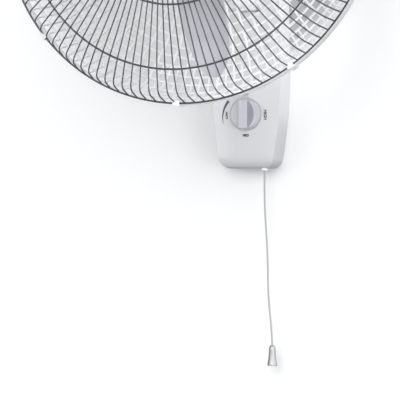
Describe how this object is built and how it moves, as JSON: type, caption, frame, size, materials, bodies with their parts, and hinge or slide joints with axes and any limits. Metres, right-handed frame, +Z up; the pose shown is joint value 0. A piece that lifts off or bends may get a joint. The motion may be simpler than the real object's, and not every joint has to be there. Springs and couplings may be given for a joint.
{
  "type": "wall mounted fan",
  "caption": "Wall fan: slim control box with speed knob and swing pull cord, tilting and swinging head, translucent blades in a round wire guard.",
  "frame": {"origin": "centre of the wall plate's four screw holes, in the wall plane", "axes": "+Y into the wall, +Z up, +X to the right of someone facing the fan; the fan stands out towards -Y"},
  "size_m": [0.4413, 0.2737, 0.7422],
  "materials": {
    "white_plastic": "white moulded plastic, satin",
    "white_guard": "white moulded plastic, satin",
    "white_paint": "white paint on cast alloy",
    "knob_plastic": "grey-lavender plastic, satin",
    "badge_plastic": "grey-lavender plastic, plain",
    "clip_plastic": "white plastic",
    "grommet_plastic": "white soft plastic",
    "smoke_blade": "translucent grey-lavender moulding",
    "guard_wire": "dark nickel plated wire",
    "zinc_steel": "zinc plated",
    "steel_pin": "ground steel",
    "spindle_metal": "turned",
    "switch_plastic": "black switch moulding",
    "terminal_plastic": "natural nylon",
    "capacitor_case": "dark case",
    "bush_bronze": "sintered bronze",
    "cast_alloy": "as cast",
    "lamination": "laminated electrical steel",
    "copper_winding": "enamelled copper",
    "motor_can": "drawn steel can",
    "link_plastic": "natural acetal",
    "cord_braid": "light grey braided cord",
    "pull_chrome": "satin metallic grey"
  },
  "bodies": {
    "wall_body": {"wall_plate": "zinc_steel", "rear_shell": "white_plastic", "front_shell": "white_plastic", "shell_screws": "zinc_steel", "lock_screw": "zinc_steel", "rotary_switch": "switch_plastic", "switch_nut": "zinc_steel", "pull_switch": "switch_plastic", "cord_grommet": "grommet_plastic", "terminal_block": "terminal_plastic", "run_capacitor": "capacitor_case", "neck_arm": "white_paint", "arm_screws": "zinc_steel", "tilt_bolt": "zinc_steel", "tilt_nut": "knob_plastic"},
    "knob": {"speed_knob": "knob_plastic", "switch_spindle": "spindle_metal"},
    "pull": {"pull_plunger": "switch_plastic", "pull_cord": "cord_braid", "cord_pull": "pull_chrome"},
    "neck": {"neck_block": "white_paint", "swing_bush": "bush_bronze", "swing_lever": "zinc_steel"},
    "head": {"swing_pin": "steel_pin", "swing_clip": "steel_pin", "motor_front_bracket": "cast_alloy", "motor_rear_bracket": "cast_alloy", "motor_bolts": "zinc_steel", "motor_bushes": "bush_bronze", "stator_core": "lamination", "stator_windings": "copper_winding", "swing_motor": "motor_can", "motor_cover": "white_plastic", "cover_screws": "zinc_steel", "rear_guard": "white_guard", "guard_nut": "white_guard", "front_guard": "guard_wire", "guard_rings": "guard_wire", "guard_clips": "clip_plastic", "front_badge": "badge_plastic"},
    "rotor": {"rotor_core": "lamination", "motor_shaft": "steel_pin", "fan_blade": "smoke_blade", "blade_nut": "knob_plastic", "drive_pin": "steel_pin"},
    "crank": {"swing_crank": "link_plastic"},
    "link": {"swing_link": "link_plastic"}
  },
  "joints": [
    {"name": "knob_turn", "type": "hinge", "parent": "wall_body", "child": "knob", "pos_m": [0, -0.04, -0.1128], "axis": [0, 1, 0], "range_deg": [0, 270]},
    {"name": "cord_pull", "type": "slide", "parent": "wall_body", "child": "pull", "axis": [0, 0, -1], "range_m": [0, 0.008], "stiffness_N_per_m": 900},
    {"name": "head_tilt", "type": "hinge", "parent": "wall_body", "child": "neck", "pos_m": [0, -0.1, 0.024], "axis": [1, 0, 0], "range_deg": [-5, 25]},
    {"name": "head_swing", "type": "hinge", "parent": "neck", "child": "head", "pos_m": [0, -0.122, 0.044], "axis": [0, 0, 1], "range_deg": [-40, 40]},
    {"name": "blade_spin", "type": "hinge", "parent": "head", "child": "rotor", "pos_m": [0, -0.196, 0.11], "axis": [0, 1, 0], "continuous": true},
    {"name": "crank_turn", "type": "hinge", "parent": "head", "child": "crank", "pos_m": [0.01, -0.08, 0.053], "axis": [0, 0, 1], "range_deg": [-90, 90]},
    {"name": "link_swing", "type": "hinge", "parent": "crank", "child": "link", "pos_m": [0.0241, -0.08, 0.05], "axis": [0, 0, 1], "range_deg": [-90, 90]}
  ],
  "couplings": [
    {"joint": "crank_turn", "follows": "head_swing", "ratio": -2.25},
    {"joint": "link_swing", "follows": "head_swing", "ratio": 2.25}
  ]
}
